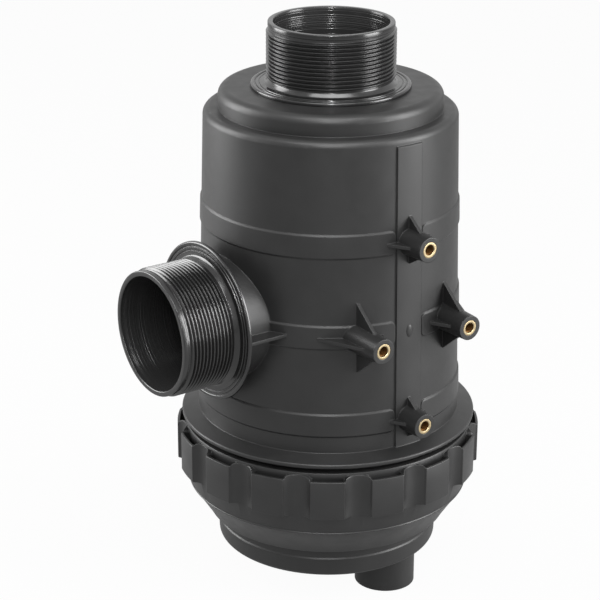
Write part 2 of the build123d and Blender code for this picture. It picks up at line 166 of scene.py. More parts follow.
# %% Moulded polypropylene
TINT_SIZE = 22 * MM
SHEEN_SIZE = 9 * MM
SHEEN_SPREAD = 0.03
SHRINK_WAVE = 30 * MM
SHRINK_DEPTH = 0.08 * MM
GRAIN_SIZE = 0.6 * MM
GRAIN_DEPTH = 0.012 * MM


def moulded_polypropylene(name, dark, light, roughness, edge=0.5 * MM):
    """Satin black polypropylene with grain, shrinkage waves and softened edges."""
    material, tree, shader, place = start_material(name, IOR=1.49, Specular_IOR_Level=0.4)
    cloud = noise(tree, place, TINT_SIZE, 3.0).outputs["Fac"]
    tint = spread(tree, cloud, 0.0, 1.0)
    base = add(tree, "ShaderNodeMix", {"Factor": tint, 6: colour(dark), 7: colour(light)}, data_type="RGBA")
    tree.links.new(base.outputs[2], shader.inputs["Base Color"])
    uneven_gloss(tree, shader, place, SHEEN_SIZE, 2.0, roughness - SHEEN_SPREAD, roughness + SHEEN_SPREAD)
    soft = add(tree, "ShaderNodeBevel", {"Radius": edge}, samples=6).outputs["Normal"]
    waves = relief(tree, noise(tree, place, SHRINK_WAVE, 1.0).outputs["Fac"], SHRINK_DEPTH, soft)
    grain = relief(tree, noise(tree, place, GRAIN_SIZE).outputs["Fac"], GRAIN_DEPTH, waves)
    tree.links.new(grain, shader.inputs["Normal"])
    return material


body_plastic = moulded_polypropylene("moulded_polypropylene_body", "161616", "1c1c1c", 0.44, 0.7 * MM)
nut_plastic = moulded_polypropylene("moulded_polypropylene_nut", "191919", "202020", 0.42)
bowl_plastic = moulded_polypropylene("moulded_polypropylene_bowl", "161616", "1c1c1c", 0.45)
cap_plastic = moulded_polypropylene("moulded_polypropylene_caps", "111111", "161616", 0.4)
cage_plastic = moulded_polypropylene("moulded_polypropylene_cage", "111111", "161616", 0.4)
print("body, nut, bowl, cap and cage plastics made")

# %% [markdown]
# ## Glossy port plastic
# The two nipples are separate mouldings from a polished mould, so they are much glossier than
# the body. Their gloss is a little uneven, as on any polished tool, and it is what makes the
# thread crests sparkle. The steel core that shapes a bore is turned on a lathe, and its fine
# rings are left in the plastic. Stretched noise draws them: it varies along the bore alone. Real
# rings lie about 0.2 mm apart, and these are over three times as wide, so that they show. The
# bores are also painted a lighter grey than the pipe: that is painted light, for the light that
# falls into them.

# %% Polished port plastic and ringed bores
PORT_EDGE = 0.2 * MM
POLISH_SIZE = 5 * MM
POLISH_SPREAD = 0.1
RIPPLE_SIZE = 1.6 * MM
RIPPLE_DEPTH = 0.006 * MM
BORE_RING = 0.7 * MM
BORE_RING_DEPTH = 0.3 * MM


def polished_polypropylene(name, shade, roughness):
    """Glossy black polypropylene with slightly uneven polish."""
    material, tree, shader, place = start_material(name, IOR=1.5, Base_Color=colour(shade))
    uneven_gloss(tree, shader, place, POLISH_SIZE, 3.0, roughness, roughness + POLISH_SPREAD)
    soft = add(tree, "ShaderNodeBevel", {"Radius": PORT_EDGE}, samples=6).outputs["Normal"]
    ripple = relief(tree, noise(tree, place, RIPPLE_SIZE).outputs["Fac"], RIPPLE_DEPTH, soft)
    tree.links.new(ripple, shader.inputs["Normal"])
    return material


def ringed_bore(name, shade, roughness, along):
    """The port plastic in a bore, in a lighter shade that is painted light, with rings across its axis."""
    material, tree, shader, place = start_material(
        name, IOR=1.5, Base_Color=colour(shade), Roughness=roughness)
    depth = add(tree, "ShaderNodeVectorMath", {0: place, 1: along}, operation="MULTIPLY").outputs["Vector"]
    rings = relief(tree, noise(tree, depth, BORE_RING, 1.0).outputs["Fac"], BORE_RING_DEPTH)
    tree.links.new(rings, shader.inputs["Normal"])
    return material


port_plastic = polished_polypropylene("polished_polypropylene_ports", "161616", 0.17)
# Painted light: both bores are drawn lighter than the pipe, for the light that falls into them.
outlet_bore_painted_light = ringed_bore("ringed_polypropylene_outlet_bore_painted_light", "242424", 0.2, (0, 0, 1))
inlet_bore_painted_light = ringed_bore("ringed_polypropylene_inlet_bore_painted_light", "202020", 0.25, (1, 0, 0))
print("port plastic and two bore plastics made")

# %% [markdown]
# ## Brass, steel, rubber and acetal
# Turned brass is a metal, so its colour is the colour of its reflections. The turning tool
# leaves fine rings, drawn here as a slightly uneven gloss. The flat face of an insert is clean
# and pale. Its thread is duller, and it is painted darker as painted shade, because little light
# gets in. Woven stainless wire is drawn bright and smooth. Nitrile rubber is nearly black and
# dull. Natural acetal is a milky off-white, and a little light goes into it before it comes back.

# %% Metals, rubber and acetal
TURNING_SIZE = 0.8 * MM
TURNING_SPREAD = 0.14
DRAWING_SIZE = 2 * MM
BLOOM_SIZE = 3 * MM
FLOW_SIZE = 4 * MM


def turned_brass(name, shade, roughness):
    """Yellow brass with the uneven gloss that a lathe tool leaves."""
    material, tree, shader, place = start_material(name, Metallic=1.0, Base_Color=colour(shade))
    uneven_gloss(tree, shader, place, TURNING_SIZE, 3.0, roughness, roughness + TURNING_SPREAD)
    return material


def drawn_steel(name):
    """Stainless wire, cold drawn, so bright and smooth."""
    material, tree, shader, place = start_material(name, Metallic=1.0, Base_Color=colour("b9bab8"))
    uneven_gloss(tree, shader, place, DRAWING_SIZE, 2.0, 0.25, 0.38)
    return material


def nitrile_rubber(name):
    """Dull black rubber with a fine bloom on its skin."""
    material, tree, shader, place = start_material(name, IOR=1.52, Base_Color=colour("121212"))
    uneven_gloss(tree, shader, place, BLOOM_SIZE, 3.0, 0.5, 0.68)
    return material


def natural_acetal(name):
    """Milky acetal, which lets a little light in."""
    material, tree, shader, place = start_material(
        name, IOR=1.48, Base_Color=colour("dcdad0"), Subsurface_Weight=0.2, Subsurface_Scale=1.5 * MM)
    uneven_gloss(tree, shader, place, FLOW_SIZE, 2.0, 0.3, 0.42)
    return material


brass = turned_brass("turned_brass", "a89878", 0.34)
# Painted shade: the brass for the threads is painted darker, for the little light that gets in.
painted_shade_brass = turned_brass("dull_painted_shade_brass", "4a3219", 0.45)
steel = drawn_steel("drawn_stainless_wire")
rubber = nitrile_rubber("nitrile_rubber")
acetal = natural_acetal("natural_acetal")
print("materials", len(bpy.data.materials))

# %% [markdown]
# ## Turned shapes
# Most pieces of a filter are turned shapes: an outline swept round an axis. The outline is a
# closed list of corners, each a radius, a level and the size of its rounding. A corner with a
# rounding becomes a short arc. Sweeping by hand, and not with the Spin tool, lets every ring
# have the same number of corners and closes the last ring onto the first.

# %% Outlines with rounded corners, and the sweep round an axis
def softened(corners, arc_steps=5):
    """Points of a closed outline whose corners are (radius, level, rounding)."""
    points = []
    count = len(corners)
    for index, (radius, level, rounding) in enumerate(corners):
        here = Vector((radius, level))
        if rounding == 0:
            points.append(here)
            continue
        before = (Vector(corners[index - 1][:2]) - here).normalized()
        after = (Vector(corners[(index + 1) % count][:2]) - here).normalized()
        half = before.angle(after) / 2
        reach = rounding / math.tan(half)
        centre = here + (before + after).normalized() * rounding / math.sin(half)
        first = here + before * reach - centre
        last = here + after * reach - centre
        turn = first.angle_signed(last)
        for step in range(arc_steps + 1):
            angle = -turn * step / arc_steps
            cos, sin = math.cos(angle), math.sin(angle)
            points.append(centre + Vector((first.x * cos - first.y * sin, first.x * sin + first.y * cos)))
    return points


def upright(angle, radius, level):
    """A point about the body's axis."""
    return axis + Vector((radius * math.cos(angle), radius * math.sin(angle), level))


def towards_inlet(angle, radius, level):
    """A point about the inlet's axis, which points to -X; level is the reach from the body's axis."""
    return axis + Vector((-level, radius * math.sin(angle), inlet_level + radius * math.cos(angle)))


def swept(points, place, steps):
    """Vertices and faces of an outline swept round an axis."""
    count = len(points)
    corners = [place(math.tau * s / steps, p.x, p.y) for s in range(steps) for p in points]
    faces = []
    for s in range(steps):
        here, there = s * count, (s + 1) % steps * count
        for i in range(count):
            j = (i + 1) % count
            faces.append((here + i, there + i, there + j, here + j))
    return corners, faces


def tidy(mesh, angle=35, doubles=0.001 * MM):
    """Merges doubled corners, drops edges that have no face, turns faces outwards and smooths."""
    work = bmesh.new()
    work.from_mesh(mesh)
    bmesh.ops.remove_doubles(work, verts=work.verts, dist=doubles)
    bmesh.ops.delete(work, geom=[edge for edge in work.edges if edge.is_wire], context="EDGES")
    bmesh.ops.recalc_face_normals(work, faces=work.faces)
    open_edges = sum(not edge.is_manifold for edge in work.edges)
    work.to_mesh(mesh)
    work.free()
    mesh.polygons.foreach_set("use_smooth", [True] * len(mesh.polygons))
    mesh.set_sharp_from_angle(angle=math.radians(angle))
    return open_edges


def piece(name, mesh, material=None):
    """An object at the origin that shows a mesh."""
    mesh.name = name
    if material is not None:
        mesh.materials.clear()
        mesh.materials.append(material)
    made = bpy.data.objects.new(name, mesh)
    bpy.context.scene.collection.objects.link(made)
    return made


def turned(name, outline, place, material, steps=192):
    """A turned piece from a softened outline."""
    mesh = bpy.data.meshes.new(name)
    corners, faces = swept(outline, place, steps)
    mesh.from_pydata(corners, [], faces)
    open_edges = tidy(mesh)
    print(name, len(mesh.polygons), "faces,", open_edges, "open edges")
    return piece(name, mesh, material)


# %% [markdown]
# ## Running a Geometry Nodes tree
# A tree is built once, with named inputs for its sizes, and used by several pieces. A modifier
# stores each input under the socket's identifier, so that is what gets set. The evaluated
# object is then turned into a plain mesh, because an exporter drops instances and live trees.

# %% Helpers for trees
def new_tree(name, **inputs):
    """A tree with named inputs, its input sockets and its output node."""
    tree = bpy.data.node_groups.new(name, "GeometryNodeTree")
    for label, kind in inputs.items():
        tree.interface.new_socket(label, in_out="INPUT", socket_type="NodeSocket" + kind)
    tree.interface.new_socket("Result", in_out="OUTPUT", socket_type="NodeSocketGeometry")
    sockets = tree.nodes.new("NodeGroupInput").outputs
    return tree, sockets, tree.nodes.new("NodeGroupOutput")


def close_tree(tree, output, geometry, material):
    """Ends a tree with real geometry that wears its material."""
    real = add(tree, "GeometryNodeRealizeInstances", {"Geometry": geometry}).outputs[0]
    worn = add(tree, "GeometryNodeSetMaterial", {"Geometry": real, "Material": material}).outputs[0]
    tree.links.new(worn, output.inputs[0])


def grown(name, tree, angle=35, base=None, **values):
    """The plain mesh that a tree makes from its inputs, and from a base mesh if it has one."""
    holder = piece(name + "_holder", base or bpy.data.meshes.new(name))
    modifier = holder.modifiers.new("tree", "NODES")
    modifier.node_group = tree
    for item in tree.interface.items_tree:
        if item.in_out == "INPUT" and item.name in values:
            modifier[item.identifier] = values[item.name]
    evaluated = holder.evaluated_get(bpy.context.evaluated_depsgraph_get())
    mesh = bpy.data.meshes.new_from_object(evaluated)
    bpy.data.objects.remove(holder)
    open_edges = tidy(mesh, angle)
    print(name, len(mesh.polygons), "faces,", open_edges, "open edges")
    return mesh


def joined(name, material, *meshes):
    """One mesh from several, each a closed shell of its own."""
    work = bmesh.new()
    for mesh in meshes:
        work.from_mesh(mesh)
    for face in work.faces:
        face.material_index = 0
    result = bpy.data.meshes.new(name)
    result.materials.append(material)
    work.to_mesh(result)
    work.free()
    return result


# %% [markdown]
# ## A thread is a ridge along a helix
# A screw thread could be modelled ring by ring, but real threads climb. The tree draws a helix
# at the root radius, sweeps a small trapezium along it and lets the ridge grow out of the root
# over the first and last part of a turn, as a cut thread does. A positive depth makes the ridge
# of a male thread, which stands outwards, and a negative one that of a female thread. The spiral
# is reversed, because only then does it climb like a right-hand thread.

# %% The thread tree
def thread_tree():
    """A helical ridge with tapered ends, about +Z from the origin."""
    tree, size, output = new_tree(
        "thread_ridge", Radius="Float", Pitch="Float", Turns="Float", Depth="Float",
        Root="Float", Crest="Float", Lead="Float", Steps="Int", Material="Material")
    height = add(tree, "ShaderNodeMath", {0: size["Pitch"], 1: size["Turns"]}, operation="MULTIPLY")
    helix = add(tree, "GeometryNodeCurveSpiral", {
        "Resolution": size["Steps"], "Rotations": size["Turns"], "Start Radius": size["Radius"],
        "End Radius": size["Radius"], "Height": height.outputs[0], "Reverse": True})
    level = add(tree, "GeometryNodeSetCurveNormal", {"Curve": helix.outputs[0]}, mode="Z_UP")
    section = add(tree, "GeometryNodeCurvePrimitiveQuadrilateral", mode="POINTS")
    for number, (width, side, depth) in enumerate((
            ("Root", -0.5, None), ("Crest", -0.5, "Depth"), ("Crest", 0.5, "Depth"), ("Root", 0.5, None))):
        half = add(tree, "ShaderNodeMath", {0: size[width], 1: side}, operation="MULTIPLY")
        corner = add(tree, "ShaderNodeCombineXYZ", {"Y": half.outputs[0]})
        if depth:
            tree.links.new(size[depth], corner.inputs["X"])
        tree.links.new(corner.outputs[0], section.inputs[f"Point {number + 1}"])
    along = add(tree, "GeometryNodeSplineParameter").outputs["Factor"]
    turn = add(tree, "ShaderNodeMath", {0: along, 1: size["Turns"]}, operation="MULTIPLY").outputs[0]
    left = add(tree, "ShaderNodeMath", {0: size["Turns"], 1: turn}, operation="SUBTRACT").outputs[0]
    nearest = add(tree, "ShaderNodeMath", {0: turn, 1: left}, operation="MINIMUM").outputs[0]
    grow = add(tree, "ShaderNodeMapRange", {
        "Value": nearest, "From Max": size["Lead"], "To Min": 0.02}, interpolation_type="SMOOTHSTEP")
    ridge = add(tree, "GeometryNodeCurveToMesh", {
        "Curve": level.outputs[0], "Profile Curve": section.outputs[0],
        "Scale": grow.outputs["Result"], "Fill Caps": True})
    close_tree(tree, output, ridge.outputs[0], size["Material"])
    return tree


THREAD = thread_tree()


def thread(name, place, start, radius, pitch, turns, depth, root, crest, material, steps=96, lead=0.3):
    """A ridge laid about an axis; start is the level of its first turn."""
    mesh = grown(name, THREAD, angle=28, Radius=radius, Pitch=pitch, Turns=turns, Depth=depth, Root=root,
                 Crest=crest, Lead=lead, Steps=steps, Material=material)
    for corner in mesh.vertices:
        x, y, z = corner.co
        corner.co = place(math.atan2(y, x), math.hypot(x, y), z + start)
    return mesh


print("thread tree", len(THREAD.nodes), "nodes")

# %% [markdown]
# ## The port nipples
# Each nipple is a moulded pipe with a base disc. Its male thread is G 2 1/2: 75.18 mm across, 11
# threads to the inch. The crests stop a tenth of a millimetre short of that, to stay within the
# solid. A small hollow leads from the pipe to the disc, the disc has a rounded bead at its edge
# and two shallow grooves inside it, and a plain ring at the tip helps a coupling to find its way
# on. The pipe and disc are one turned outline, and the thread is a ridge that lies on it. A size
# that ends in IN is measured inwards, here from the edge of the disc.

# %% Sizes of the nipples
PORT_THREAD_R = 37.5 * MM
PORT_ROOT_R = 36.1 * MM
PORT_BORE_R = 33.4 * MM
PORT_PITCH = 25.4 / 11 * MM
DISC_R = outlet_high.x
DISC_WALL = 2.2 * MM
BEAD_IN = 2.3 * MM
WIDE_GROOVE_IN = (2.5 * MM, 3.1 * MM)
WIDE_GROOVE_DEPTH = 0.6 * MM
FLAT_IN = (3.3 * MM, 4.6 * MM)
FLAT_DEPTH = 0.1 * MM
FINE_GROOVE_IN = (4.8 * MM, 5.3 * MM)
FINE_GROOVE_DEPTH = 0.4 * MM
HOLLOW_IN = 5.5 * MM
HOLLOW_WIDTH = 1.9 * MM
HOLLOW_HEIGHT = 2.6 * MM
WELD_DEPTH = 0.8 * MM
WELD_RING = (40.64 * MM, 43.24 * MM)
NECK_R = 37.1 * MM
TIP_R = 36.5 * MM
TIP_RING = 3.0 * MM
THREAD_TO_DISC = 3.5 * MM
THREAD_TO_RIM = 4.2 * MM
PORT_RIDGE_ROOT = 2.1 * MM
PORT_RIDGE_CREST = 0.5 * MM
PORT_RIDGE_SUNK = 0.1 * MM
THREAD_EDGE = math.radians(30)
BORE_SLACK = 0.01 * MM
print("port thread", round(2 * PORT_THREAD_R / MM, 1), "mm across, pitch", round(PORT_PITCH / MM, 3), "mm")

# %% [markdown]
# ## From the outline to a nipple
# The outline starts with the corners of the welded face, which differ between the two nipples,
# and goes round the disc, up the pipe and down the bore. Each corner has its own small rounding,
# because an edge without one shows no highlight. A second material goes on the faces that lie
# close enough to the axis, so the bore needs no cut to change its finish. That material is also
# painted lighter than the pipe, as painted light.

# %% Both nipples
def nipple_outline(seat, rim, joint):
    """The disc and the pipe; joint holds the corners of the face that is welded."""
    top = seat + DISC_WALL
    return softened([
        *joint,
        (DISC_R, seat, 0.3 * MM),
        (DISC_R, top, 1.0 * MM),
        (DISC_R - BEAD_IN, top, 0.7 * MM),
        (DISC_R - WIDE_GROOVE_IN[0], top - WIDE_GROOVE_DEPTH, 0.05 * MM),
        (DISC_R - WIDE_GROOVE_IN[1], top - WIDE_GROOVE_DEPTH, 0.1 * MM),
        (DISC_R - FLAT_IN[0], top - FLAT_DEPTH, 0.1 * MM),
        (DISC_R - FLAT_IN[1], top - FLAT_DEPTH, 0.1 * MM),
        (DISC_R - FINE_GROOVE_IN[0], top - FINE_GROOVE_DEPTH, 0),
        (DISC_R - FINE_GROOVE_IN[1], top - FINE_GROOVE_DEPTH, 0),
        (DISC_R - HOLLOW_IN, top, 0),
        (PORT_ROOT_R + HOLLOW_WIDTH, top + 0.1 * MM, 1.8 * MM),
        (PORT_ROOT_R, top + HOLLOW_HEIGHT, 0.8 * MM),
        (PORT_ROOT_R, rim - TIP_RING, 0.3 * MM),
        (TIP_R, rim - TIP_RING + 0.4 * MM, 0.2 * MM),
        (TIP_R, rim, 0.5 * MM),
        (PORT_BORE_R, rim, 0.6 * MM),
    ])


def line_bore(made, material, foot, along, radius):
    """Gives a second material to the faces that lie within a radius of an axis."""
    made.data.materials.append(material)
    for face in made.data.polygons:
        spots = [made.data.vertices[v].co - foot for v in face.vertices]
        if max((spot - along * spot.dot(along)).length for spot in spots) < radius + BORE_SLACK:
            face.material_index = 1


def nipple(name, place, seat, rim, joint, bore_painted_light):
    """A turned nipple with its thread, riding on the housing."""
    pipe = turned(name + "_pipe", nipple_outline(seat, rim, joint), place, port_plastic)
    start = seat + DISC_WALL + THREAD_TO_DISC
    turns = (rim - THREAD_TO_RIM - start) / PORT_PITCH
    low_r = PORT_ROOT_R - PORT_RIDGE_SUNK
    ridge = thread(name + "_thread", place, start, low_r, PORT_PITCH, turns, PORT_THREAD_R - low_r,
                   PORT_RIDGE_ROOT, PORT_RIDGE_CREST, port_plastic)
    made = piece(name + "_threaded", joined(name, port_plastic, pipe.data, ridge))
    bpy.data.objects.remove(pipe)
    foot = place(0, 0, 0)
    along = (place(0, 0, 1) - foot).normalized()
    # The bore's faces get the plastic that is painted lighter, as painted light.
    line_bore(made, bore_painted_light, foot, along, PORT_BORE_R)
    made.data.set_sharp_from_angle(angle=THREAD_EDGE)
    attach(made, "housing")
    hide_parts(name)


outlet_seat, outlet_rim = outlet_low.z, outlet_high.z
outlet_joint = [
    (PORT_BORE_R, outlet_seat, 0),
    (WELD_RING[0], outlet_seat, 0),
    (WELD_RING[0], outlet_seat + WELD_DEPTH, 0),
    (WELD_RING[1], outlet_seat + WELD_DEPTH, 0),
    (WELD_RING[1], outlet_seat, 0),
]
inlet_seat, inlet_rim = -inlet_high.x, -inlet_low.x
inlet_joint = [
    (PORT_BORE_R, inlet_seat + WELD_DEPTH, 0),
    (NECK_R, inlet_seat + WELD_DEPTH, 0),
    (NECK_R, inlet_seat, 0),
]
nipple("outlet_nipple", upright, outlet_seat, outlet_rim, outlet_joint, outlet_bore_painted_light)
nipple("inlet_nipple", towards_inlet, inlet_seat, inlet_rim, inlet_joint, inlet_bore_painted_light)

# %% [markdown]
# ## The brass inserts
# Four threaded inserts are moulded into the bosses, so that a steel screw can be tightened many
# times. The flat face is wide, which is what catches the light, the mouth has a small chamfer,
# and a groove round the outside grips the plastic. All four are the same outline, turned about
# their own axes, with the female thread from the tree above and the dull brass on it, which is
# painted darker there as painted shade.

# %% The inserts with their M6 threads
INSERT_THREAD_R = 3.0 * MM
INSERT_CORE_R = 2.5 * MM
INSERT_CHAMFER = 0.35 * MM
INSERT_GROOVE_DEPTH = 0.5 * MM
INSERT_GROOVE = (0.45, 0.6)
INSERT_PITCH = 1.0 * MM
INSERT_THREAD_IN = 1.2 * MM
INSERT_RIDGE_ROOT = 0.9 * MM
INSERT_RIDGE_CREST = 0.2 * MM
INSERT_RIDGE_SUNK = 0.05 * MM


def insert(name):
    """One insert, flush with its boss, with a female thread."""
    low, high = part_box(name)
    centre = (low + high) / 2
    outer, length = (high.x - low.x) / 2, high.y - low.y
    groove_start, groove_end = (share * length for share in INSERT_GROOVE)

    def place(angle, radius, depth):
        across, up = radius * math.sin(angle), radius * math.cos(angle)
        return Vector((centre.x + across, low.y + depth, centre.z + up))

    outline = softened([
        (INSERT_THREAD_R + INSERT_CHAMFER, 0, 0.1 * MM),
        (outer, 0, 0.1 * MM),
        (outer, groove_start, 0.1 * MM),
        (outer - INSERT_GROOVE_DEPTH, groove_start, 0),
        (outer - INSERT_GROOVE_DEPTH, groove_end, 0),
        (outer, groove_end, 0.1 * MM),
        (outer, length, 0.2 * MM),
        (INSERT_THREAD_R, length, 0.1 * MM),
        (INSERT_THREAD_R, INSERT_CHAMFER, 0.05 * MM),
    ], arc_steps=3)
    shell = turned(name + "_shell", outline, place, brass, steps=64)
    turns = (length - 2 * INSERT_THREAD_IN) / INSERT_PITCH
    outside_r = INSERT_THREAD_R + INSERT_RIDGE_SUNK
    ridge = thread(name + "_thread", place, INSERT_THREAD_IN, outside_r, INSERT_PITCH, turns,
                   INSERT_CORE_R - outside_r, INSERT_RIDGE_ROOT, INSERT_RIDGE_CREST, brass, steps=32)
    made = piece(name + "_threaded", joined(name, brass, shell.data, ridge))
    bpy.data.objects.remove(shell)
    # The thread's faces get the brass that is painted darker, as painted shade.
    line_bore(made, painted_shade_brass, centre, Vector((0, 1, 0)), outside_r)
    made.data.set_sharp_from_angle(angle=THREAD_EDGE)
    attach(made, "housing")
    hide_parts(name)


for side in ("top", "bottom", "left", "right"):
    insert("insert_" + side)

# %% [markdown]
# ## The ring nut, one sixteenth at a time
# A hand nut this wide is moulded with hollow lobes: each lobe is a thin wall with a pocket behind
# it, so the plastic is equally thick everywhere and cools evenly. Between the lobes the wall falls
# in a hollow curve to a valley, and its top edge climbs there in a round shoulder. Under the
# lobes a steep cone leads to a crease, and a flatter one from there to the rim round the bowl.
# The shape repeats sixteen times, so only one sector is modelled. First come its sizes and the
# outline that it has when seen from above.

# %% Sizes and plan of the nut
nut_low, nut_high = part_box("ring_nut")
LOBES = 16
LOBE_HALF = math.radians(6.4)
LOBE_PHASE = math.radians(-126.1)
LOBE_R = 91.8 * MM
LOBE_WALL = 1.6 * MM
LOBE_SIDE = 0.8 * MM
LOBE_LOW = -106.6 * MM
LOBE_HIGH = -82.6 * MM
POCKET_FLOOR = LOBE_LOW + 4.0 * MM
VALLEY_R = 87.3 * MM
BASE_R = 87.9 * MM
CORE_R = 86.9 * MM
NUT_BORE_R = 82.9 * MM
SEAT_LEVEL = -112.1 * MM
SEAT_R = 78.0 * MM
CREASE = (84.6 * MM, -118.9 * MM)
RIM_R = 73.3 * MM
LIP_R = 67.8 * MM
CORNER_ROUND = 0.5 * MM
CORNER_STEPS = 3
VALLEY_RUN = 7.4 * MM
VALLEY_TURN = math.radians(58)
VALLEY_STEPS = 8
MOUND_ROUND = 3.0 * MM
MOUND_RISE = 2.0 * MM


def plan_half():
    """Angle and radius along half a sector's plan outline, from lobe middle to valley middle."""
    side = LOBE_R * LOBE_HALF
    points = [(share * (side - LOBE_SIDE) / LOBE_R, LOBE_R) for share in (0, 0.25, 0.5, 0.75, 1.0)]
    for step in range(CORNER_STEPS + 1):
        turn = math.radians(90 * step / CORNER_STEPS)
        along = side - CORNER_ROUND + CORNER_ROUND * math.sin(turn)
        points.append((along / LOBE_R, LOBE_R - CORNER_ROUND + CORNER_ROUND * math.cos(turn)))
    fall = LOBE_R - CORNER_ROUND - VALLEY_R
    for step in range(1, VALLEY_STEPS + 1):
        turn = VALLEY_TURN * (1 - step / VALLEY_STEPS)
        along = side + VALLEY_RUN * (1 - math.sin(turn) / math.sin(VALLEY_TURN))
        climb = (1 - math.cos(turn)) / (1 - math.cos(VALLEY_TURN))
        points.append((along / LOBE_R, VALLEY_R + fall * climb))
    points.append((math.pi / LOBES, VALLEY_R))
    return points


print("half a sector's plan has", len(plan_half()), "points")

# %% [markdown]
# ## The section of the nut's wall
# Going round the wall from the lip on the bowl, out over the cone and the lobe, into the pocket's
# mouth, up the standing core and down the bore, the section has the same number of corners
# everywhere. That lets the sector be a plain grid. A few small offsets round each moulded corner.
# Those at the foot of a lobe fade towards the valleys, as the step there does.

# %% The section
RIM_CURVE = ((-0.9, 0), (-0.25, 0.2), (0.1, 0.8), (0.35, 1.5))
CREASE_CURVE = ((-0.5, -0.9), (0.4, -0.35), (0.5, -0.05), (0.15, 0.5))
FOOT_CURVE = ((-0.5, 0.02), (-0.12, 0.2), (0, 0.6))
CORE_CURVE = ((0, -0.8), (-0.25, -0.25), (-0.8, 0))
MOUTH_CURVE = ((0.6, 0), (0, -0.6))
VALLEY_EDGE = 0.15 * MM
LOBE_EDGE = 0.5 * MM
MOUTH_RING = 16


def rounded(radius, level, curve, share=1.0):
    """Corners that lie about a point by offsets in millimetres; share fades them sideways."""
    return [(radius + share * out * MM, level + up * MM) for out, up in curve]


def cone_level(radius):
    """Level of the nut's steep cone at a radius, between its crease and the foot of the lobes."""
    share = (radius - CREASE[0]) / (BASE_R - CREASE[0])
    return CREASE[1] + share * (LOBE_LOW - CREASE[1])


def mound_level(angle):
    """Level of the top edge, which climbs in a round shoulder from a lobe to the valley beside it."""
    past = (abs(angle) - LOBE_HALF) * LOBE_R / MOUND_ROUND
    left = 1 - min(max(past, 0), 1)
    return LOBE_HIGH + MOUND_RISE * math.sqrt(1 - left ** 2)


def nut_rings(angle, radius):
    """The section's corners, once round the wall, where the plan outline has a radius."""
    rise = (radius - VALLEY_R) / (LOBE_R - VALLEY_R)
    foot_r = min(radius, BASE_R)
    edge = VALLEY_EDGE + (LOBE_EDGE - VALLEY_EDGE) * rise
    pocket_r = max(radius - LOBE_WALL, CORE_R + 0.1 * MM)
    low, high, top = nut_low.z, nut_high.z, mound_level(angle)
    return [
        (LIP_R, low),
        *rounded(RIM_R, low, RIM_CURVE),
        *rounded(*CREASE, CREASE_CURVE),
        (foot_r, cone_level(foot_r)),
        *rounded(radius, LOBE_LOW, FOOT_CURVE, rise),
        (radius, top - 0.7 * MM),
        (radius - 0.3 * edge, top - 0.2 * MM),
        (radius - edge, top),
        (pocket_r, top),
        (CORE_R, top),
        *rounded(CORE_R, high, CORE_CURVE),
        *rounded(NUT_BORE_R, high, MOUTH_CURVE),
        (NUT_BORE_R, SEAT_LEVEL),
        (SEAT_R, SEAT_LEVEL),
        (SEAT_R, CREASE[1]),
    ]


section = nut_rings(0, LOBE_R)
print("the section has", len(section), "corners; the pocket's mouth starts at corner", MOUTH_RING)

# %% [markdown]
# ## One sector, sixteen times
# The sector is a grid: one column for each step of the plan, and one row for each corner of the
# section. Where the lobe is hollow the grid leaves out the mouth's row, and four walls and a floor
# close the pocket under it. The sector's two open ends match, so the tree repeats it round the
# axis and merges the copies into one closed nut.

# %% The sector of the nut
def nut_sector():
    """One lobe with its pocket and half a valley on each side, about +X."""
    half = plan_half()
    plan = [(-angle, radius) for angle, radius in reversed(half[1:])] + half
    rings = [nut_rings(angle, radius) for angle, radius in plan]
    count = len(rings[0])
    points = [upright(angle, *corner) - axis
              for (angle, _), ring in zip(plan, rings) for corner in ring]
    pocket_half = (LOBE_HALF * LOBE_R - LOBE_SIDE) / LOBE_R
    inside = [abs(angle) <= pocket_half + 1e-6 for angle, _ in plan]
    faces = []
    for column in range(len(plan) - 1):
        here, there = column * count, (column + 1) * count
        open_mouth = inside[column] and inside[column + 1]
        for i in range(count):
            j = (i + 1) % count
            if not (open_mouth and i == MOUTH_RING):
                faces.append((here + i, there + i, there + j, here + j))
    columns = [c for c in range(len(plan)) if inside[c]]
    first_floor = len(points)
    for c in columns:
        for ring in (MOUTH_RING, MOUTH_RING + 1):
            place = points[c * count + ring].copy()
            place.z = POCKET_FLOOR
            points.append(place)
    for n, (a, b) in enumerate(zip(columns, columns[1:])):
        low_a, low_b = first_floor + 2 * n, first_floor + 2 * n + 2
        top_a, top_b = a * count + MOUTH_RING, b * count + MOUTH_RING
        faces.append((top_a, top_b, low_b, low_a))
        faces.append((top_a + 1, low_a + 1, low_b + 1, top_b + 1))
        faces.append((low_a, low_b, low_b + 1, low_a + 1))
    for c, low in ((columns[0], first_floor), (columns[-1], len(points) - 2)):
        top = c * count + MOUTH_RING
        faces.append((top, low, low + 1, top + 1))
    mesh = bpy.data.meshes.new("nut_sector")
    mesh.from_pydata(points, [], faces)
    return mesh


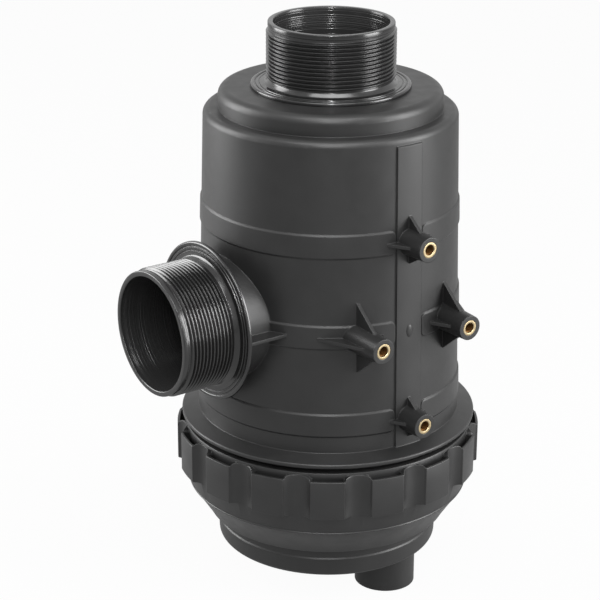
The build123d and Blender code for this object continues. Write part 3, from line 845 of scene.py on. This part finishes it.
def round_tree():
    """Repeats a sector round the body's axis and merges the copies."""
    tree, size, output = new_tree(
        "repeat_round_the_axis", Sector="Geometry", Copies="Int", Phase="Float", Centre="Vector",
        Material="Material")
    points = add(tree, "GeometryNodePoints", {"Count": size["Copies"], "Position": size["Centre"]})
    share = add(tree, "ShaderNodeMath", {0: math.tau, 1: size["Copies"]}, operation="DIVIDE").outputs[0]
    number = add(tree, "GeometryNodeInputIndex").outputs[0]
    angle = add(tree, "ShaderNodeMath", {0: number, 1: share, 2: size["Phase"]}, operation="MULTIPLY_ADD")
    turn = add(tree, "ShaderNodeCombineXYZ", {"Z": angle.outputs[0]})
    copies = add(tree, "GeometryNodeInstanceOnPoints", {
        "Points": points.outputs[0], "Instance": size["Sector"], "Rotation": turn.outputs[0]})
    real = add(tree, "GeometryNodeRealizeInstances", {"Geometry": copies.outputs[0]})
    whole = add(tree, "GeometryNodeMergeByDistance", {"Geometry": real.outputs[0], "Distance": 0.01 * MM})
    close_tree(tree, output, whole.outputs[0], size["Material"])
    return tree


ROUND = round_tree()
nut_mesh = grown("ring_nut_lobed", ROUND, angle=40, base=nut_sector(), Copies=LOBES, Phase=LOBE_PHASE,
                 Centre=axis, Material=nut_plastic)

# %% [markdown]
# ## The coarse thread under the nut
# The nut climbs on a coarse thread of 6 mm to the turn on the housing's collar. A coarse thread
# needs only three turns to free the bowl, and dirt doesn't jam it. Both ridges come from the
# thread tree, half a pitch apart, so that at rest the one lies midway between the turns of the
# other. They ride on different bodies and stay clear of each other as the nut unscrews.

# %% Male ridge on the collar, female ridge in the nut
COARSE_PITCH = 6.0 * MM
COLLAR_R = 80.7 * MM
RIDGE_ROOT = 2.6 * MM
RIDGE_CREST = 1.8 * MM
RIDGE_DEPTH = 2.0 * MM
RIDGE_SUNK = 0.2 * MM
COARSE_START = -104.8 * MM
COARSE_TURNS = 2.8
NUT_EDGE = math.radians(40)
male = thread("collar_thread", upright, COARSE_START, COLLAR_R - RIDGE_SUNK, COARSE_PITCH, COARSE_TURNS,
              RIDGE_DEPTH, RIDGE_ROOT, RIDGE_CREST, body_plastic, steps=128)
collar_thread = piece("collar_thread", male)
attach(collar_thread, "housing")
female = thread("nut_thread", upright, COARSE_START - COARSE_PITCH / 2, NUT_BORE_R + RIDGE_SUNK,
                COARSE_PITCH, COARSE_TURNS, -RIDGE_DEPTH, RIDGE_ROOT, RIDGE_CREST, nut_plastic, steps=128)
ring_nut = piece("ring_nut_lobed", joined("ring_nut", nut_plastic, nut_mesh, female))
ring_nut.data.set_sharp_from_angle(angle=NUT_EDGE)
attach(ring_nut, "ring_nut")
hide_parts("ring_nut")

# %% [markdown]
# ## The woven mesh
# The cartridge strains the liquid through a sleeve of woven stainless wire. In a plain weave
# each wire passes over one crossing and under the next. Two trees could draw the two sets of
# wires, but one is enough: it draws a wave along a line, repeats it, and the sleeve's mesh is
# then bent round the axis. The real cloth has about twenty wires to the inch. It is drawn with
# nine, because finer wires would melt together in any picture and weigh down the model.

# %% The weave tree and the two sleeves
WIRE_PITCH = 2.9 * MM
WIRE_R = 0.26 * MM
SLEEVE_R = 54.2 * MM
WAVE_STEPS = 2.0


def weave_tree():
    """Waving wires side by side along X, each running along Y, in a flat cloth."""
    tree, size, output = new_tree(
        "waving_wires", Wires="Int", Crossings="Int", Step="Float", Swing="Float", Thickness="Float",
        Material="Material")
    corners = add(tree, "ShaderNodeMath", {0: size["Crossings"], 1: WAVE_STEPS}, operation="MULTIPLY")
    count = add(tree, "ShaderNodeMath", {0: corners.outputs[0], 1: 1.0}, operation="ADD")
    length = add(tree, "ShaderNodeMath", {0: size["Crossings"], 1: size["Step"]}, operation="MULTIPLY")
    end = add(tree, "ShaderNodeCombineXYZ", {"Y": length.outputs[0]})
    line = add(tree, "GeometryNodeCurvePrimitiveLine", {"End": end.outputs[0]})
    fine = add(tree, "GeometryNodeResampleCurve", {"Curve": line.outputs[0], "Count": count.outputs[0]})
    column = add(tree, "GeometryNodeMeshLine", {"Count": size["Wires"]})
    gap = add(tree, "ShaderNodeCombineXYZ", {"X": size["Step"]})
    tree.links.new(gap.outputs[0], column.inputs["Offset"])
    wires = add(tree, "GeometryNodeInstanceOnPoints", {
        "Points": column.outputs[0], "Instance": fine.outputs[0]})
    real = add(tree, "GeometryNodeRealizeInstances", {"Geometry": wires.outputs[0]})
    place = add(tree, "ShaderNodeSeparateXYZ", {0: add(tree, "GeometryNodeInputPosition").outputs[0]})
    both = add(tree, "ShaderNodeMath", {0: place.outputs["X"], 1: place.outputs["Y"]}, operation="ADD")
    steps = add(tree, "ShaderNodeMath", {0: both.outputs[0], 1: size["Step"]}, operation="DIVIDE").outputs[0]
    phase = add(tree, "ShaderNodeMath", {0: steps, 1: math.pi}, operation="MULTIPLY").outputs[0]
    wave = add(tree, "ShaderNodeMath", {0: phase}, operation="COSINE").outputs[0]
    swing = add(tree, "ShaderNodeMath", {0: wave, 1: size["Swing"]}, operation="MULTIPLY").outputs[0]
    lift = add(tree, "ShaderNodeCombineXYZ", {"Z": swing})
    waved = add(tree, "GeometryNodeSetPosition", {"Geometry": real.outputs[0], "Offset": lift.outputs[0]})
    section = add(tree, "GeometryNodeCurvePrimitiveCircle", {"Resolution": 4, "Radius": size["Thickness"]})
    tubes = add(tree, "GeometryNodeCurveToMesh", {
        "Curve": waved.outputs[0], "Profile Curve": section.outputs[0], "Fill Caps": True})
    close_tree(tree, output, tubes.outputs[0], size["Material"])
    return tree


WEAVE = weave_tree()


def sleeve(name):
    """A woven sleeve that stands for one of the thin mesh solids."""
    low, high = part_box(name)
    around = 2 * round(math.pi * SLEEVE_R / WIRE_PITCH)
    pitch = math.tau * SLEEVE_R / around
    rows = int((high.z - low.z - 2 * WIRE_R) / pitch)
    start = (low.z + high.z - rows * pitch) / 2
    uprights = grown(name + "_uprights", WEAVE, angle=60, Wires=around, Crossings=rows, Step=pitch,
                     Swing=WIRE_R, Thickness=WIRE_R, Material=steel)
    hoops = grown(name + "_hoops", WEAVE, angle=60, Wires=rows + 1, Crossings=around, Step=pitch,
                  Swing=-WIRE_R, Thickness=WIRE_R, Material=steel)
    for corner in uprights.vertices:
        x, y, z = corner.co
        corner.co = upright(x / SLEEVE_R, SLEEVE_R + z, start + y)
    for corner in hoops.vertices:
        x, y, z = corner.co
        corner.co = upright(y / SLEEVE_R, SLEEVE_R + z, start + x)
    made = piece(name + "_woven", joined(name, steel, uprights, hoops))
    tidy(made.data, angle=60)
    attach(made, "cartridge")
    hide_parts(name)
    print(made.name, around, "upright wires,", rows + 1, "hoops")


for half in ("upper", "lower"):
    sleeve("mesh_sleeve_" + half)

# %% [markdown]
# ## Finishes on the solids that stay
# The housing, bowl, cartridge frame, slip ring and seals have their true shape in the packed
# model. Only their finish is missing, and a solid takes it by an assignment to its first slot.

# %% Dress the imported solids
FINISHES = {
    "housing": body_plastic,
    "bowl": bowl_plastic,
    "bowl_seal": rubber,
    "slip_ring": acetal,
    "cartridge_top_cap": cap_plastic,
    "cartridge_top_seal": rubber,
    "cartridge_low_cap": cap_plastic,
    "cartridge_low_seal": rubber,
    "cage_middle_ring": cap_plastic,
    "cage_upper_half": cage_plastic,
    "cage_lower_half": cage_plastic,
}
for node, material in FINISHES.items():
    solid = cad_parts[node]
    solid.data.materials.clear()
    solid.data.materials.append(material)
print("dressed", len(FINISHES), "solids")

# %% [markdown]
# ## The gate mark
# Molten plastic entered the housing's mould at one spot, in the middle of the four bosses, and
# left a low oval button where the sprue was cut. A ray shot at the finished solid finds the
# surface there, and a small turned dome, stretched upright, is laid on it.

# %% The oval button between the bosses
GATE_RADIUS = 2.3 * MM
GATE_STRETCH = 1.7
GATE_PROUD = 0.55 * MM
RAY_START_Y = -0.05
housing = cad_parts["housing"]
boss_level = (middle("insert_top").z + middle("insert_bottom").z) / 2
_, spot, _, _ = housing.ray_cast(Vector((axis.x, RAY_START_Y, boss_level)), Vector((0, 1, 0)))


def on_strip(angle, radius, proud):
    """A point of the button; it stands out towards -Y."""
    return spot + Vector((radius * math.cos(angle), -proud, GATE_STRETCH * radius * math.sin(angle)))


dome = softened([
    (0, -GATE_PROUD, 0),
    (GATE_RADIUS, -GATE_PROUD, 0),
    (GATE_RADIUS, 0, 0),
    (0.85 * GATE_RADIUS, 0.6 * GATE_PROUD, 0),
    (0.5 * GATE_RADIUS, 0.95 * GATE_PROUD, 0),
    (0, GATE_PROUD, 0),
])
button = turned("gate_mark", dome, on_strip, body_plastic, steps=32)
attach(button, "housing")
print("gate mark at", [round(c, 4) for c in spot])

# %% [markdown]
# ## The studio
# A product picture like this is taken on a white sweep. The floor is a wide disc just under the
# lowest point. To the camera and through glass it shows nearly its own white, and the little
# that is left comes from the lamps, so the object keeps a soft shadow. Gloss sees the floor too,
# but dimmer: the upright walls mirror the floor in front of them, and a full white one would turn
# the black plastic grey. The world is white above the horizon, and puts only a little of that
# light on the object.

# %% Floor and world
FLOOR_R = 12.0
FLOOR_GLOW = 0.96
FLOOR_IN_GLOSS = 0.28
FLOOR_GAP = 0.05 * MM
WORLD_LIGHT = 0.3
WHITE = (1, 1, 1, 1)


def seen_directly(tree, in_gloss=1.0):
    """1 for rays from the camera or through glass, in_gloss for rays from gloss, otherwise 0."""
    path = add(tree, "ShaderNodeLightPath").outputs
    gloss = add(tree, "ShaderNodeMath", {0: path["Is Glossy Ray"], 1: in_gloss}, operation="MULTIPLY")
    seen = gloss.outputs[0]
    for kind in ("Is Camera Ray", "Is Transmission Ray"):
        seen = add(tree, "ShaderNodeMath", {0: path[kind], 1: seen}, operation="MAXIMUM").outputs[0]
    return seen


def white_floor():
    """White paper that shows as white and still takes a shadow."""
    material = bpy.data.materials.new("white_sweep")
    material.use_nodes = True
    tree = material.node_tree
    tree.nodes.clear()
    paper = add(tree, "ShaderNodeBsdfDiffuse", {"Color": colour("a0a0a0")})
    glow = add(tree, "ShaderNodeEmission", {"Color": WHITE, "Strength": 1.0})
    seen = seen_directly(tree, FLOOR_IN_GLOSS)
    share = add(tree, "ShaderNodeMath", {0: seen, 1: FLOOR_GLOW}, operation="MULTIPLY")
    mix = add(tree, "ShaderNodeMixShader", {0: share.outputs[0], 1: paper.outputs[0], 2: glow.outputs[0]})
    add(tree, "ShaderNodeOutputMaterial", {"Surface": mix.outputs[0]})
    return material


def white_world(light):
    """A world that shows white and puts a little plain light on the object."""
    world = bpy.data.worlds.new("studio")
    bpy.context.scene.world = world
    world.use_nodes = True
    tree = world.node_tree
    tree.nodes.clear()
    shown = add(tree, "ShaderNodeBackground", {"Color": WHITE, "Strength": 1.0})
    dim = add(tree, "ShaderNodeBackground", {"Color": WHITE, "Strength": light})
    mix = add(tree, "ShaderNodeMixShader", {0: seen_directly(tree), 1: dim.outputs[0], 2: shown.outputs[0]})
    add(tree, "ShaderNodeOutputWorld", {"Surface": mix.outputs[0]})


floor_mesh = bpy.data.meshes.new("floor")
work = bmesh.new()
bmesh.ops.create_circle(work, cap_ends=True, segments=96, radius=FLOOR_R)
bmesh.ops.translate(work, verts=work.verts, vec=(0, 0, cad_low.z - FLOOR_GAP))
work.to_mesh(floor_mesh)
work.free()
floor = piece("floor", floor_mesh, white_floor())
floor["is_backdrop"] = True
white_world(WORLD_LIGHT)
print("floor at", round(cad_low.z, 4))

# %% [markdown]
# ## Lamps
# Four softboxes, placed by the direction that they shine from as seen from above. A narrow upright
# one, high over the camera, draws the thin bright line on the glossy pipes. A wide one on the
# right lights the flank that faces it, and one on the left, a little behind the body, gives the
# pale edge there. Both reach down to the floor, because an upright wall seen from above mirrors
# what lies low. The fourth hangs above and in front, and lights the upper faces and fillets.

# %% Softboxes
CAMERA_AZIMUTH = -35.5


def direction(azimuth):
    """A level unit vector; azimuth 0 is -Y and grows towards +X."""
    turn = math.radians(azimuth)
    return Vector((math.sin(turn), -math.cos(turn), 0))


def lamp(name, away, level, width, depth, power):
    """A rectangular lamp, away from the body's axis and at a level; it shines down until turned."""
    data = bpy.data.lights.new(name, "AREA")
    data.shape = "RECTANGLE"
    data.size, data.size_y, data.energy = width, depth, power
    made = bpy.data.objects.new(name, data)
    made.location = axis + away + Vector((0, 0, level))
    bpy.context.scene.collection.objects.link(made)
    return made


def softbox(name, azimuth, distance, low, high, width, power):
    """A standing lamp that faces the body's axis, between two levels."""
    back = direction(azimuth)
    made = lamp(name, back * distance, (low + high) / 2, width, high - low, power)
    made.rotation_mode = "QUATERNION"
    made.rotation_quaternion = (-back).to_track_quat("-Z", "Y")


def overhead_box(name, azimuth, forward, level, width, depth, power):
    """A lamp that hangs level, above and in front of the body."""
    made = lamp(name, direction(azimuth) * forward, level, width, depth, power)
    made.rotation_euler = (0, 0, math.radians(azimuth))


softbox("strip_light", CAMERA_AZIMUTH, distance=1.7, low=0.6, high=2.2, width=0.05, power=36)
softbox("right_light", CAMERA_AZIMUTH + 76, distance=1.5, low=-0.16, high=1.2, width=0.75, power=47)
softbox("left_light", CAMERA_AZIMUTH - 106, distance=1.5, low=-0.16, high=1.2, width=0.8, power=35)
overhead_box("top_light", CAMERA_AZIMUTH, forward=0.8, level=1.5, width=1.5, depth=0.55, power=26)

# %% [markdown]
# ## Camera
# The picture was taken from above and to the left of the bosses. The lens, the direction and the
# distance were fitted to the port circles, the nut and the bosses, and the camera leans a
# quarter of a degree. A lens this long keeps the upright edges nearly parallel.

# %% Camera
LENS = 124.33
SENSOR = 36.0
DISTANCE = 1.24155
LEAN = 0.26
TOWARDS_CAMERA = Vector((-0.54094, -0.75812, 0.36423))
back = TOWARDS_CAMERA.normalized()
AIM = Vector((-0.01419, 0.00979, -0.00609))
target = axis + AIM
camera_data = bpy.data.cameras.new("camera")
camera_data.lens, camera_data.sensor_width = LENS, SENSOR
camera = bpy.data.objects.new("camera", camera_data)
camera.location = target + back * DISTANCE
camera.rotation_mode = "QUATERNION"
lean = Quaternion((0, 0, 1), math.radians(LEAN))
camera.rotation_quaternion = (-back).to_track_quat("-Z", "Y") @ lean
bpy.context.scene.collection.objects.link(camera)
bpy.context.scene.camera = camera
bpy.context.scene.view_settings.view_transform = "Standard"
print("camera at", [round(c, 3) for c in camera.location])

# %% [markdown]
# ## Print the sizes of both boxes
# The dressed pieces may not outgrow the solids, so both boxes are printed side by side.

# %% Print the two boxes
shown_low, shown_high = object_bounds()
for label, extent in (("cad", cad_high - cad_low), ("visual", shown_high - shown_low)):
    print(label, [round(side, 4) for side in extent])
